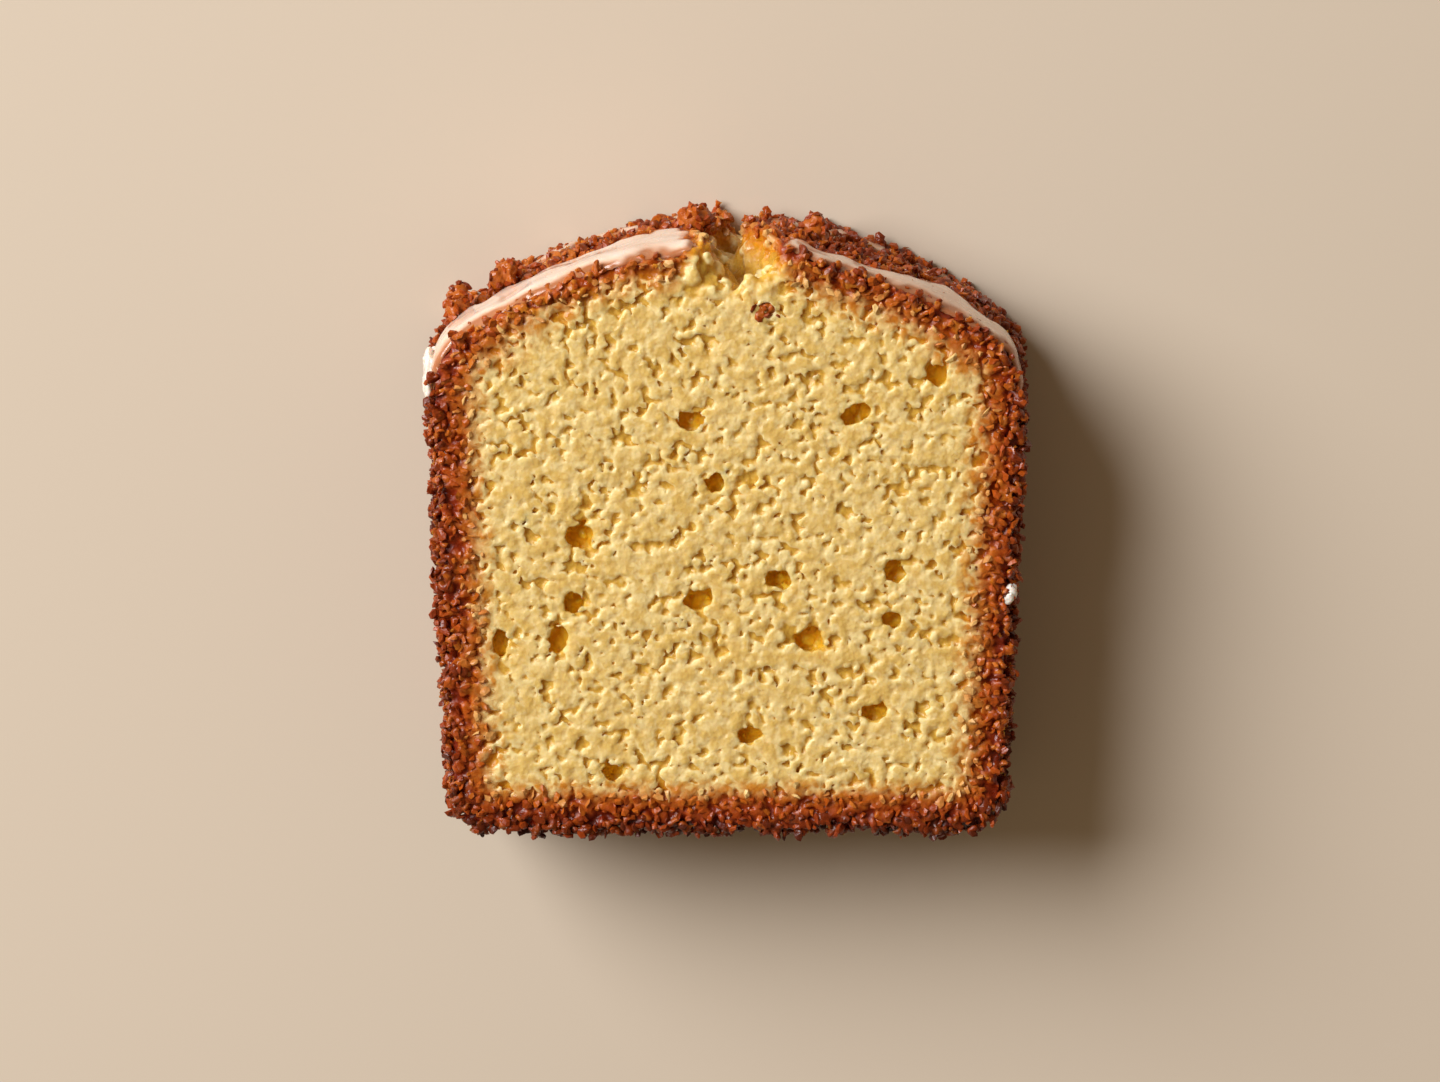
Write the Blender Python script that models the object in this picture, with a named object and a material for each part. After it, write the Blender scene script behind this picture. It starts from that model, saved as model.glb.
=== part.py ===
"""A thick slice of glazed pound cake loaf, lying on its rear cut face.

X runs across the loaf, +Y from the flat baked base to the split crown, and Z along the loaf,
through the slice. The slice rests on the rear cut at Z = 0 and shows the front cut at the top.
The origin is the centre of the bounding box at the rear cut. Sizes are in metres.
"""

import math

import bmesh
import bpy
from mathutils import Matrix, Vector, noise

# The slice and its tin-shaped sides
THICKNESS = 0.028
BASE_WIDTH = 0.0828
SHOULDER_WIDTH = 0.0885
SHOULDER_HEIGHT = 0.0715
BASE_CORNER = 0.0065
SHOULDER_CORNER = 0.0065

# The arched crown, which climbs a little towards the middle of the loaf, behind the rear cut
CROWN_SPRING = 0.0730
CROWN_RISE = 0.0166
CROWN_HALF_SPAN = 0.046
CROWN_CLIMB = 0.0006

# The split along the crown
SPLIT_OFFSET = 0.0010
SPLIT_WANDER = 0.0016
SPLIT_HALF_WIDTH = 0.0050
SPLIT_POWER = 1.3
SPLIT_DEPTH = 0.0072
SPLIT_DEEPEST = 0.0035
SPLIT_RAGGED = 0.35
SPLIT_RAGGED_SIZE = 0.0045
LIP_HEIGHT = 0.0009

# Unevenness of the baked crust, and the crumbled rim of each cut
CRUST_BUMP = 0.00038
CRUST_BUMP_SIZE = 0.0052
CROWN_BUMP = 0.0010
CROWN_BUMP_SIZE = 0.014
RIM_INSET = 0.0011
RIM_DEPTH = 0.0013
RESTING_RIM = 0.0005

# Resolution of the lofted crust, with its outline points closer together at the crown
OUTLINE_POINTS = 168
CROWN_CROWDING = 0.45
CRUST_LAYERS = 12
SOLVER_STEPS = 26

# Large air holes in the front cut: X, height above the base, width, height and turn in degrees
AIR_HOLES = (
    (-0.0219, 0.0460, 0.0045, 0.0037, 10),
    (-0.0231, 0.0359, 0.0026, 0.0034, -25),
    (-0.0252, 0.0302, 0.0028, 0.0044, -15),
    (-0.0043, 0.0365, 0.0048, 0.0028, 8),
    (-0.0054, 0.0635, 0.0038, 0.0031, 15),
    (0.0079, 0.0395, 0.0042, 0.0030, 5),
    (0.0250, 0.0406, 0.0034, 0.0034, 0),
    (0.0126, 0.0302, 0.0042, 0.0035, 20),
    (0.0247, 0.0333, 0.0030, 0.0023, 0),
    (0.0221, 0.0192, 0.0040, 0.0024, 12),
    (0.0192, 0.0647, 0.0050, 0.0031, 25),
    (0.0312, 0.0706, 0.0034, 0.0031, -30),
    (-0.0172, 0.0098, 0.0033, 0.0025, -10),
    (0.0032, 0.0156, 0.0038, 0.0021, 0),
    (-0.0338, 0.0298, 0.0022, 0.0044, 5),
    (-0.0016, 0.0542, 0.0030, 0.0027, 30),
)
HOLE_DEPTH = 0.0019
HOLE_DETAIL = 2

CRUMB_COLOUR = (0.66, 0.42, 0.13, 1.0)
CRUMB_ROUGHNESS = 0.75


def smooth_step(value):
    """Eases a value from 0 to 1 with no slope at either end."""
    value = min(1.0, max(0.0, value))
    return value * value * (3.0 - 2.0 * value)


def mix(first, second, share):
    return first + (second - first) * share


def smooth_max(first, second, radius):
    """The larger value, rounded over where the two come within radius of each other."""
    overlap = max(radius - abs(first - second), 0.0)
    return max(first, second) + overlap * overlap / (4.0 * radius)


def wall_half_width(height):
    """Half the width between the tapered tin walls, which stand straight above the shoulder."""
    share = min(1.0, max(0.0, height / SHOULDER_HEIGHT))
    return mix(BASE_WIDTH, SHOULDER_WIDTH, share) / 2.0


def split_depth(x, rear):
    """How far the split cuts below the crown. rear is 0 at the front cut and 1 at the rear cut."""
    centre = SPLIT_OFFSET + SPLIT_WANDER * math.sin(2.6 * math.pi * rear)
    half_width = SPLIT_HALF_WIDTH * (1.0 - 0.42 * smooth_step(rear))
    depth = SPLIT_DEPTH + SPLIT_DEEPEST * math.sin(math.pi * rear) - 0.6 * SPLIT_DEPTH * smooth_step(rear)
    ragged = noise.noise(Vector((x, rear * THICKNESS, 0.0)) / SPLIT_RAGGED_SIZE)
    across = abs(x - centre) / half_width + SPLIT_RAGGED * ragged * smooth_step(depth / SPLIT_DEPTH)
    groove = depth * max(0.0, 1.0 - max(0.0, across) ** SPLIT_POWER)
    lip = LIP_HEIGHT * math.exp(-(((across - 1.35) / 0.45) ** 2))
    return groove - lip


def crown_height(x, rear):
    """Height of the crown above the base, with the split in it."""
    arch = CROWN_RISE * math.cos(0.5 * math.pi * min(1.0, abs(x) / CROWN_HALF_SPAN))
    swell = CROWN_BUMP * noise.noise(Vector((x, rear * THICKNESS, 0.0)) / CROWN_BUMP_SIZE)
    return CROWN_SPRING + arch + CROWN_CLIMB * rear + swell - split_depth(x, rear)


def past_crust(x, height, rear):
    """Roughly how far a point lies outside the crust: negative inside, zero on it."""
    sides = abs(x) - wall_half_width(height)
    over_crown = height - crown_height(x, rear)
    above = smooth_max(sides, over_crown, SHOULDER_CORNER)
    return smooth_max(above, -height, BASE_CORNER)


def outline_radius(angle, rear):
    """Distance from the middle of the cut to the crust in one direction, found by halving."""
    direction = Vector((math.cos(angle), math.sin(angle)))
    middle = SHOULDER_HEIGHT / 2.0
    near, far = 0.0, SHOULDER_WIDTH
    for _ in range(SOLVER_STEPS):
        reach = (near + far) / 2.0
        if past_crust(direction.x * reach, middle + direction.y * reach, rear) < 0.0:
            near = reach
        else:
            far = reach
    return near


def rim_inset(z):
    """How far the crumbled rims at the two cuts draw the outline in."""
    front = max(0.0, 1.0 - (THICKNESS - z) / RIM_DEPTH)
    rear = max(0.0, 1.0 - z / RESTING_RIM)
    return RIM_INSET * front**2 + RESTING_RIM * rear**2


def section_outline(z):
    """Points round one cut through the slice at height z, anticlockwise."""
    rear = 1.0 - z / THICKNESS
    middle = Vector((0.0, SHOULDER_HEIGHT / 2.0, z))
    points = []
    for step in range(OUTLINE_POINTS):
        turn = 2.0 * math.pi * step / OUTLINE_POINTS
        angle = turn + CROWN_CROWDING * math.cos(turn)
        outwards = Vector((math.cos(angle), math.sin(angle), 0.0))
        radius = outline_radius(angle, rear)
        bump = noise.noise((middle + outwards * radius) / CRUST_BUMP_SIZE)
        points.append(middle + outwards * (radius + CRUST_BUMP * bump - rim_inset(z)))
    return points


def layer_heights():
    """Z of each section: even layers, with closer ones where a rim rounds over."""
    even = [THICKNESS * layer / CRUST_LAYERS for layer in range(CRUST_LAYERS + 1)]
    rims = [RESTING_RIM, THICKNESS - RIM_DEPTH, THICKNESS - RIM_DEPTH * 0.4]
    return sorted(even + rims)


def loft_slice():
    """The slice as one closed mesh, lofted through its sections, with a flat cut at each end."""
    mesh = bmesh.new()
    rings = []
    for z in layer_heights():
        corners = [mesh.verts.new(point) for point in section_outline(z)]
        rings.append([mesh.edges.new((corners[i - 1], corners[i])) for i in range(OUTLINE_POINTS)])
    for lower, upper in zip(rings, rings[1:]):
        bmesh.ops.bridge_loops(mesh, edges=lower + upper)
    bmesh.ops.contextual_create(mesh, geom=rings[0])
    bmesh.ops.contextual_create(mesh, geom=rings[-1])
    bmesh.ops.recalc_face_normals(mesh, faces=mesh.faces[:])
    centre_on_origin(mesh)
    return mesh


def centre_on_origin(mesh):
    """Moves the slice so that the origin is the middle of its bounding box at the rear cut."""
    for axis in range(2):
        values = [vertex.co[axis] for vertex in mesh.verts]
        middle = (min(values) + max(values)) / 2.0
        for vertex in mesh.verts:
            vertex.co[axis] -= middle


def new_object(name, mesh, collection):
    """Turns a bmesh into a named object in a collection."""
    data = bpy.data.meshes.new(name)
    mesh.to_mesh(data)
    mesh.free()
    made = bpy.data.objects.new(name, data)
    collection.objects.link(made)
    return made


def add_hole_cutters(base_y, collection):
    """One lumpy ball for each air hole, joined as a single cutter that stands in the front cut."""
    mesh = bmesh.new()
    for x, height, width, tall, turn in AIR_HOLES:
        placed = (
            Matrix.Translation((x, base_y + height, THICKNESS))
            @ Matrix.Rotation(math.radians(turn), 4, "Z")
            @ Matrix.Diagonal((width / 2.0, tall / 2.0, HOLE_DEPTH, 1.0))
        )
        bmesh.ops.create_icosphere(mesh, subdivisions=HOLE_DETAIL, radius=1.0, matrix=placed)
    cutter = new_object("air_hole_cutter", mesh, collection)
    cutter.hide_render = True
    cutter.display_type = "WIRE"
    return cutter


def crumb_material():
    """Pale golden crumb, used for the whole slice."""
    material = bpy.data.materials.new("golden_crumb")
    material.use_nodes = True
    surface = material.node_tree.nodes["Principled BSDF"]
    surface.inputs["Base Color"].default_value = CRUMB_COLOUR
    surface.inputs["Roughness"].default_value = CRUMB_ROUGHNESS
    surface.inputs["Metallic"].default_value = 0.0
    return material


def main():
    for existing in list(bpy.data.objects):
        bpy.data.objects.remove(existing)
    parts = bpy.data.collections.new("pound_cake_slice")
    cutters = bpy.data.collections.new("cutters")
    for collection in (parts, cutters):
        bpy.context.scene.collection.children.link(collection)

    cake = new_object("cake_slice", loft_slice(), parts)
    cake.data.materials.append(crumb_material())
    cake.data.shade_smooth()
    cake.data.set_sharp_from_angle(angle=math.radians(50.0))
    base_y = min(vertex.co.y for vertex in cake.data.vertices)

    holes = cake.modifiers.new("air_holes", "BOOLEAN")
    holes.operation = "DIFFERENCE"
    holes.object = add_hole_cutters(base_y, cutters)


main()
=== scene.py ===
"""Looks of a thick slice of glazed pound cake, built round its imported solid.

The slice lies on its rear cut: +X runs across the loaf, +Y towards the split crown and +Z out of
the cut that shows. Each block of the cake is a box of space that a Geometry Nodes modifier turns
into granules, pores and browned crust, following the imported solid. Lengths inside the node trees
are in millimetres.
"""

from __future__ import annotations

import logging
import math
import random
from collections.abc import Callable
from dataclasses import dataclass
from enum import Enum

import bpy
from mathutils import Euler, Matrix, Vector

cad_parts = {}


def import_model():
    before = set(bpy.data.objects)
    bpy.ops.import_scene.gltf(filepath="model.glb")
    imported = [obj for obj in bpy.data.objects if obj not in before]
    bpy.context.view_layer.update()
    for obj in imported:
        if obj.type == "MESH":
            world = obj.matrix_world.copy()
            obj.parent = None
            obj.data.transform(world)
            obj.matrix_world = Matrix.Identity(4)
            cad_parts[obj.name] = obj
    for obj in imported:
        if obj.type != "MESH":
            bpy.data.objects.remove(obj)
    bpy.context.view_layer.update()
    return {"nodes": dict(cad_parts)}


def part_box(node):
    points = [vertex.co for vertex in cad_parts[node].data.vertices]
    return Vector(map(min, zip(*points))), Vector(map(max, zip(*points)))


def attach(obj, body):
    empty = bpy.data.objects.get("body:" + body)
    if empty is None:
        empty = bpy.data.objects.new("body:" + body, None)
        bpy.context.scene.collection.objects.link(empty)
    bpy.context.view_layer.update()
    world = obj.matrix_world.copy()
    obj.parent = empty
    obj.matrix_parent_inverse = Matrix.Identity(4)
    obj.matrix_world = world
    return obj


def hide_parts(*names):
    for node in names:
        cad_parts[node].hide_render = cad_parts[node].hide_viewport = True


Colour = tuple[float, float, float, float]
Stops = tuple[tuple[float, Colour], ...]
LOG = logging.getLogger("pound_cake")
NODE = "cake_slice"
BODY = "root"
MM = 0.001
FAR = 40.0


class Slot(Enum):
    """Colour slots of the part's record."""

    CRUMB = "golden_crumb"
    CRUST = "browned_crust"
    GLAZE = "sugar_glaze"


def linear(red: int, green: int, blue: int) -> Colour:
    """Turns a display colour of 0 to 255 into the linear colour that shaders use.

    Args:
        red: Red channel.
        green: Green channel.
        blue: Blue channel.

    Returns:
        The linear colour with full alpha.
    """

    def channel(value: int) -> float:
        """One channel in linear light."""
        share = value / 255.0
        return share / 12.92 if share <= 0.04045 else ((share + 0.055) / 1.055) ** 2.4

    return channel(red), channel(green), channel(blue), 1.0


@dataclass(frozen=True)
class Wire:
    """One output socket of a node. Arithmetic on it adds Math nodes to its graph."""

    graph: Graph
    socket: bpy.types.NodeSocket

    def other(self, name: str) -> Wire:
        """Another output of the same node, by name."""
        return Wire(self.graph, self.socket.node.outputs[name])

    def math(self, operation: str, *values: Wire | float) -> Wire:
        """Feeds this socket and further values to one Math node."""
        inputs = dict(enumerate((self, *values)))
        return self.graph.node("ShaderNodeMath", {"operation": operation}, inputs)

    def __add__(self, other: Wire | float) -> Wire:
        """This plus another."""
        return self.math("ADD", other)

    __radd__ = __add__

    def __sub__(self, other: Wire | float) -> Wire:
        """This less another."""
        return self.math("SUBTRACT", other)

    def __rsub__(self, other: float) -> Wire:
        """A number less this."""
        return self.graph.node("ShaderNodeMath", {"operation": "SUBTRACT"}, {0: other, 1: self})

    def __mul__(self, other: Wire | float) -> Wire:
        """This times another."""
        return self.math("MULTIPLY", other)

    __rmul__ = __mul__

    def __truediv__(self, other: Wire | float) -> Wire:
        """This divided by another."""
        return self.math("DIVIDE", other)

    def __neg__(self) -> Wire:
        """This with its sign turned round."""
        return self.math("MULTIPLY", -1.0)

    def smaller(self, other: Wire | float, rounding: float = 0.0) -> Wire:
        """The lower of two values, rounded where they come close."""
        return self.math("SMOOTH_MIN", other, rounding) if rounding else self.math("MINIMUM", other)

    def larger(self, other: Wire | float, rounding: float = 0.0) -> Wire:
        """The higher of two values, rounded where they come close."""
        return self.math("SMOOTH_MAX", other, rounding) if rounding else self.math("MAXIMUM", other)

    def ramp(self, start: float, end: float, low: float = 0.0, high: float = 1.0) -> Wire:
        """Eases from low to high as this value runs from start to end."""
        inputs = {"Value": self, "From Min": start, "From Max": end, "To Min": low, "To Max": high}
        return self.graph.node("ShaderNodeMapRange", {"interpolation_type": "SMOOTHSTEP"}, inputs)


@dataclass(frozen=True)
class Graph:
    """A node tree that grows by calls, for a material or for Geometry Nodes."""

    tree: bpy.types.NodeTree

    def node(
        self,
        kind: str,
        settings: dict[str, object] | None = None,
        inputs: dict[str | int, object] | None = None,
        output: str | int = 0,
    ) -> Wire:
        """Adds one node.

        Args:
            kind: The node's type.
            settings: Its settings, set before anything else. "stops" fills a colour ramp.
            inputs: Values or wires for its sockets, by name or index.
            output: The output to return, by name or index.

        Returns:
            The chosen output.
        """
        made = self.tree.nodes.new(kind)
        for name, value in (settings or {}).items():
            if name == "stops":
                self._fill_ramp(made.color_ramp, value)
            else:
                setattr(made, name, value)
        self.fill(made, inputs or {})
        return Wire(self, made.outputs[output])

    def fill(self, node: bpy.types.Node, inputs: dict[str | int, object]) -> None:
        """Gives a node's sockets their values or wires.

        Args:
            node: The node.
            inputs: Values or wires, by the socket's name or index.
        """
        for name, value in inputs.items():
            if isinstance(value, Wire):
                self.tree.links.new(value.socket, node.inputs[name])
            else:
                node.inputs[name].default_value = value

    @staticmethod
    def _fill_ramp(ramp: bpy.types.ColorRamp, stops: Stops) -> None:
        """Gives a colour ramp its stops.

        Args:
            ramp: The ramp.
            stops: Places from nought to one, each with its colour.
        """
        while len(ramp.elements) < len(stops):
            ramp.elements.new(1.0)
        for element, (place, colour) in zip(ramp.elements, stops):
            element.position, element.color = place, colour

    def vector(self, operation: str, first: Wire, second: object = None, **more: object) -> Wire:
        """Adds a Vector Math node on one or two vectors.

        Args:
            operation: The node's operation.
            first: The first vector.
            second: The second vector, where there is one.
            more: Further sockets by name, such as Scale.

        Returns:
            The vector, or the number for a dot product or a length.
        """
        inputs = {0: first, **more} if second is None else {0: first, 1: second, **more}
        out = "Value" if operation in ("DOT_PRODUCT", "LENGTH") else "Vector"
        return self.node("ShaderNodeVectorMath", {"operation": operation}, inputs, out)

    def scaled(self, vector: Wire, factor: float | Wire) -> Wire:
        """A vector times a number."""
        return self.vector("SCALE", vector, Scale=factor)

    def millimetres(self, place: Wire) -> Wire:
        """A place given in metres, in millimetres."""
        return self.scaled(place, 1.0 / MM)

    def mesh_of(self, source: bpy.types.Object) -> Wire:
        """The geometry of another object."""
        settings = {"transform_space": "RELATIVE"}
        return self.node("GeometryNodeObjectInfo", settings, {"Object": source}, "Geometry")

    def reach(self, target: Wire, place: Wire) -> Wire:
        """Distance from a place to the nearest face of a target."""
        inputs = {0: target, "Sample Position": place}
        return self.node("GeometryNodeProximity", {"target_element": "FACES"}, inputs, "Distance")

    def without(self, geometry: Wire, selection: Wire, domain: str = "POINT") -> Wire:
        """A geometry less its selected points or faces."""
        inputs = {"Geometry": geometry, "Selection": selection}
        return self.node("GeometryNodeDeleteGeometry", {"domain": domain}, inputs)

    def finish(self, geometry: Wire) -> bpy.types.NodeTree:
        """Links a geometry to the tree's output, and returns the tree."""
        self.fill(self.tree.nodes.new("NodeGroupOutput"), {0: geometry})
        return self.tree

    def store(self, geometry: Wire, values: dict[str, Wire | float]) -> Wire:
        """Stores numbers on the points of a geometry, for the materials to read.

        Args:
            geometry: The geometry.
            values: The numbers, each with its attribute's name.

        Returns:
            The geometry with its attributes.
        """
        for name, value in values.items():
            geometry = self.node(
                "GeometryNodeStoreNamedAttribute",
                {"data_type": "FLOAT", "domain": "POINT"},
                {"Geometry": geometry, "Name": name, "Value": value},
            )
        return geometry

    def chance(self, seed: int, **more: Wire) -> Wire:
        """A random number of nought to one for each point."""
        inputs = {"Seed": seed, **more}
        return self.node("FunctionNodeRandomValue", {"data_type": "FLOAT"}, inputs, "Value")

    def chances(self, low: tuple, high: tuple, seed: int = 0, **more: Wire) -> Wire:
        """A random vector between two vectors for each point."""
        inputs = {0: low, 1: high, "Seed": seed, **more}
        return self.node("FunctionNodeRandomValue", {"data_type": "FLOAT_VECTOR"}, inputs, "Value")

    def named(self, name: str) -> Wire:
        """A number stored on the points of a geometry."""
        return self.node("GeometryNodeInputNamedAttribute", {"data_type": "FLOAT"}, {"Name": name})

    def stored(self, name: str) -> Wire:
        """A number stored on a mesh, for a material."""
        return self.node("ShaderNodeAttribute", {"attribute_name": name}, output="Fac")

    def bump(self, height: Wire, strength: float, distance: float) -> Wire:
        """A normal bent by a height."""
        inputs = {"Height": height, "Strength": strength, "Distance": distance}
        return self.node("ShaderNodeBump", None, inputs)

    def position(self) -> Wire:
        """The position of each point, in metres."""
        return self.node("GeometryNodeInputPosition")

    def joined(self, x: Wire, y: Wire, z: Wire) -> Wire:
        """A vector from three numbers."""
        return self.node("ShaderNodeCombineXYZ", None, {"X": x, "Y": y, "Z": z})

    def parts(self, vector: Wire) -> tuple[Wire, Wire, Wire]:
        """The X, Y and Z of a vector."""
        x = self.node("ShaderNodeSeparateXYZ", inputs={0: vector}, output="X")
        return x, x.other("Y"), x.other("Z")

    def blend(self, share: Wire | float, first: object, second: object) -> Wire:
        """Mixes two numbers."""
        return self.node("ShaderNodeMix", {"data_type": "FLOAT"}, {0: share, 2: first, 3: second})

    def tint(self, share: Wire | float, first: object, second: object) -> Wire:
        """Mixes two colours."""
        settings = {"data_type": "RGBA", "clamp_factor": True}
        return self.node("ShaderNodeMix", settings, {0: share, 6: first, 7: second}, 2)

    def noise(self, place: Wire, size: float, detail: float = 2.0, roughness: float = 0.5) -> Wire:
        """Soft noise of about 0 to 1, with features of a size in millimetres."""
        inputs = {"Vector": place, "Scale": 1.0 / size, "Detail": detail, "Roughness": roughness}
        return self.node("ShaderNodeTexNoise", {"noise_dimensions": "3D"}, inputs)

    def shake(self, place: Wire, size: float, detail: float, roughness: float = 0.5) -> Wire:
        """A soft random vector of about minus a half to a half on each axis."""
        colour = self.noise(place, size, detail, roughness).other("Color")
        return self.vector("SUBTRACT", colour, (0.5, 0.5, 0.5))

    def cells(self, place: Wire, size: float) -> tuple[Wire, Wire, Wire]:
        """Scattered points, one in each cell of a size in millimetres.

        Args:
            place: The sampled position, in millimetres.
            size: Width of a cell.

        Returns:
            The distance to the nearest point in millimetres, and two random numbers of its cell.
        """
        inputs = {"Vector": place, "Scale": 1.0 / size, "Randomness": 1.0}
        settings = {"feature": "F1", "voronoi_dimensions": "3D"}
        near = self.node("ShaderNodeTexVoronoi", settings, inputs, "Distance")
        first, second, _ = self.parts(near.other("Color"))
        return near * size, first, second


def geometry_graph(name: str) -> tuple[Graph, Wire]:
    """Starts a Geometry Nodes tree.

    Args:
        name: Name of the tree.

    Returns:
        The graph and its incoming geometry.
    """
    tree = bpy.data.node_groups.new(name, "GeometryNodeTree")
    for way in ("INPUT", "OUTPUT"):
        tree.interface.new_socket("Geometry", in_out=way, socket_type="NodeSocketGeometry")
    graph = Graph(tree)
    return graph, graph.node("NodeGroupInput")


@dataclass(frozen=True)
class Loaf:
    """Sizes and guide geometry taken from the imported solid."""

    low: Vector
    high: Vector
    guide: bpy.types.Object

    @classmethod
    def from_frame(cls, packed: bpy.types.Object) -> Loaf:
        """Reads the slice's box, and copies its mesh as a guide with its points merged.

        Args:
            packed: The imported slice.

        Returns:
            The loaf's sizes and guide.
        """
        low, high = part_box(NODE)
        bpy.ops.object.select_all(action="DESELECT")
        guide = packed.copy()
        guide.data = guide.data.copy()
        guide.name = "slice_guide"
        guide.parent = None
        for key in list(guide.keys()):
            del guide[key]
        bpy.context.scene.collection.objects.link(guide)
        guide.hide_render = True
        bpy.context.view_layer.objects.active = guide
        guide.select_set(True)
        bpy.ops.object.mode_set(mode="EDIT")
        bpy.ops.mesh.select_all(action="SELECT")
        bpy.ops.mesh.remove_doubles(threshold=1e-6)
        bpy.ops.object.mode_set(mode="OBJECT")
        guide.select_set(False)
        return cls(low, high, guide)

    def spot(self, place: Wire) -> tuple[Wire, Wire, Wire]:
        """A place's millimetres across, up the slice and back from the shown cut."""
        across, up, height = place.graph.parts(place.graph.millimetres(place))
        return across, up, self.high.z / MM - height


@dataclass(frozen=True)
class GlazeBand:
    """One stretch of glaze along the crown, in millimetres across and back from the shown cut."""

    left: float
    right: float
    start: float
    reach: float
    bulge_at: float = 0.0
    bulge: float = 0.0
    thickness: float = 0.9
    bulge_width: float = 7.0
    rear_wander: float = 2.4
    front_wander: float = 1.3
    end_wander: float = 1.6

    def inside(self, across: Wire, back: Wire, wander: Wire) -> Wire:
        """How far a place lies inside the band, in millimetres, negative outside.

        Args:
            across: Millimetres from the loaf's middle.
            back: Millimetres behind the shown cut.
            wander: Uneven edge of about minus one to one.

        Returns:
            The signed depth inside the band.
        """
        swell = (across - self.bulge_at).math("ABSOLUTE").ramp(0.0, self.bulge_width, self.bulge, 0.0)
        rear = self.reach - back + swell + self.rear_wander * wander
        front = back - self.start + self.front_wander * wander
        ends = (across - self.left).smaller(self.right - across) + self.end_wander * wander
        return rear.smaller(front, 1.0).smaller(ends, 1.5)


@dataclass
class BakedField:
    """The shape of baked cake as one signed distance, in millimetres, negative inside.

    Every block of the cake and its colours read this same field, so that neighbours meet.
    """

    loaf: Loaf
    warp: float = 0.6
    warp_size: float = 2.2
    crumb_cell: float = 1.3
    crust_range: tuple[float, float] = (0.7, 3.4)
    rim_range: tuple[float, float] = (2.0, 7.0)
    pore_size: float = 2.8
    pore_slope: float = 4.5
    crumb_pores: float = 0.62
    rim_pores: float = 0.53
    pinhole_cell: float = 1.7
    pinhole_share: float = 0.3
    pinhole_radius: float = 0.5
    grit_cell: float = 1.1
    pore_depth: float = 0.3
    pore_rounding: float = 0.25
    hole_depth: float = 3.4
    hole_floor: float = 1.1
    flat_normal: float = 0.8
    granule_spread: float = 3.6
    granule_count: int = 12000
    granule_radius: float = 0.95
    guide_area: float = 0.0270
    ray: tuple[float, float, float] = (0.31, 0.52, 0.79)
    swell_size: float = 6.5
    fine_size: float = 0.8
    fine_reach: tuple[float, float] = (0.5, 0.2)
    lobe_cell: float = 3.2
    slab_stand: float = 0.5
    hole_fade: tuple[float, float] = (26.0, 30.0)
    crown_edge: tuple[float, float] = (17.0, 23.0)
    wander_size: float = 5.0
    wander_reach: float = 4.0
    split_middle: float = 1.0
    split_sides: tuple[float, float] = (5.0, 9.0)
    split_foot: tuple[float, float] = (29.0, 34.0)
    patch_size: float = 5.5
    bands: tuple[GlazeBand, ...] = (
        GlazeBand(-46.0, -4.2, 0.8, 15.5, -12.0, 1.5, 0.6),
        GlazeBand(8.0, 45.5, 0.5, 10.5, 31.0, 5.0, 0.45),
    )

    def outer_hull(self, graph: Graph) -> Wire:
        """The convex hull of the crusted walls, without the two cuts and the air holes.

        Args:
            graph: A Geometry Nodes graph.

        Returns:
            The hull's geometry.
        """
        top = self.loaf.high.z - self.hole_depth * MM
        near_cut = graph.parts(graph.position())[2].math("GREATER_THAN", top)
        walls = graph.without(graph.mesh_of(self.loaf.guide), near_cut)
        hull = graph.node("GeometryNodeConvexHull", inputs={"Geometry": walls})
        normal = graph.node("GeometryNodeInputNormal", output="True Normal")
        upright = graph.parts(normal)[2].math("ABSOLUTE")
        return graph.without(hull, upright.math("GREATER_THAN", self.flat_normal), "FACE")

    def signed_distance(self, place: Wire) -> Wire:
        """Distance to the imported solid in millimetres, negative inside, by a ray's first hit.

        Args:
            place: The sampled position, in metres.

        Returns:
            The signed distance.
        """
        graph = place.graph
        solid = graph.mesh_of(self.loaf.guide)
        near = graph.reach(solid, place)
        aim = {"Source Position": place, "Ray Direction": self.ray, "Ray Length": 1.0}
        ray = graph.node("GeometryNodeRaycast", None, {"Target Geometry": solid, **aim}, "Is Hit")
        facing = graph.vector("DOT_PRODUCT", ray.other("Hit Normal"), self.ray)
        inside = facing.math("GREATER_THAN", 0.0) * ray
        return near * (1.0 - 2.0 * inside) / MM

    def inward(self, place: Wire) -> Wire:
        """Distance in millimetres from the hull of the crust, so the split counts as inside.

        Args:
            place: The sampled position, in metres.

        Returns:
            The depth behind the crust.
        """
        low, high = self.loaf.low.z + MM, self.loaf.high.z - (self.hole_depth + 0.2) * MM
        graph = place.graph
        x, y, z = graph.parts(place)
        flat = graph.joined(x, y, z.larger(low).smaller(high))
        return graph.reach(self.outer_hull(graph), flat) / MM

    def warped(self, place: Wire) -> Wire:
        """The place in millimetres, shaken a little so that no granule is a perfect ball.

        Args:
            place: The sampled position, in metres.

        Returns:
            The shaken position.
        """
        graph = place.graph
        millimetres = graph.millimetres(place)
        shake = graph.shake(millimetres, self.warp_size, 2.0, 0.6)
        return graph.vector("ADD", millimetres, graph.scaled(shake, 2.0 * self.warp))

    def glaze_inside(self, place: Wire) -> Wire:
        """How far a place lies inside any glaze band, looking only across and back.

        Args:
            place: The sampled position, in metres.

        Returns:
            The signed depth inside the bands, in millimetres.
        """
        across, up, back = self.loaf.spot(place)
        wander = self.wander(place.graph.millimetres(place))
        left, right = (band.inside(across, back, wander) for band in self.bands)
        return left.larger(right) + self.crown_fade(up)

    def wander(self, millimetres: Wire) -> Wire:
        """The unevenness of the glaze's edges at a place in millimetres."""
        return self.wander_reach * (millimetres.graph.noise(millimetres, self.wander_size, 1.0) - 0.5)

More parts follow.
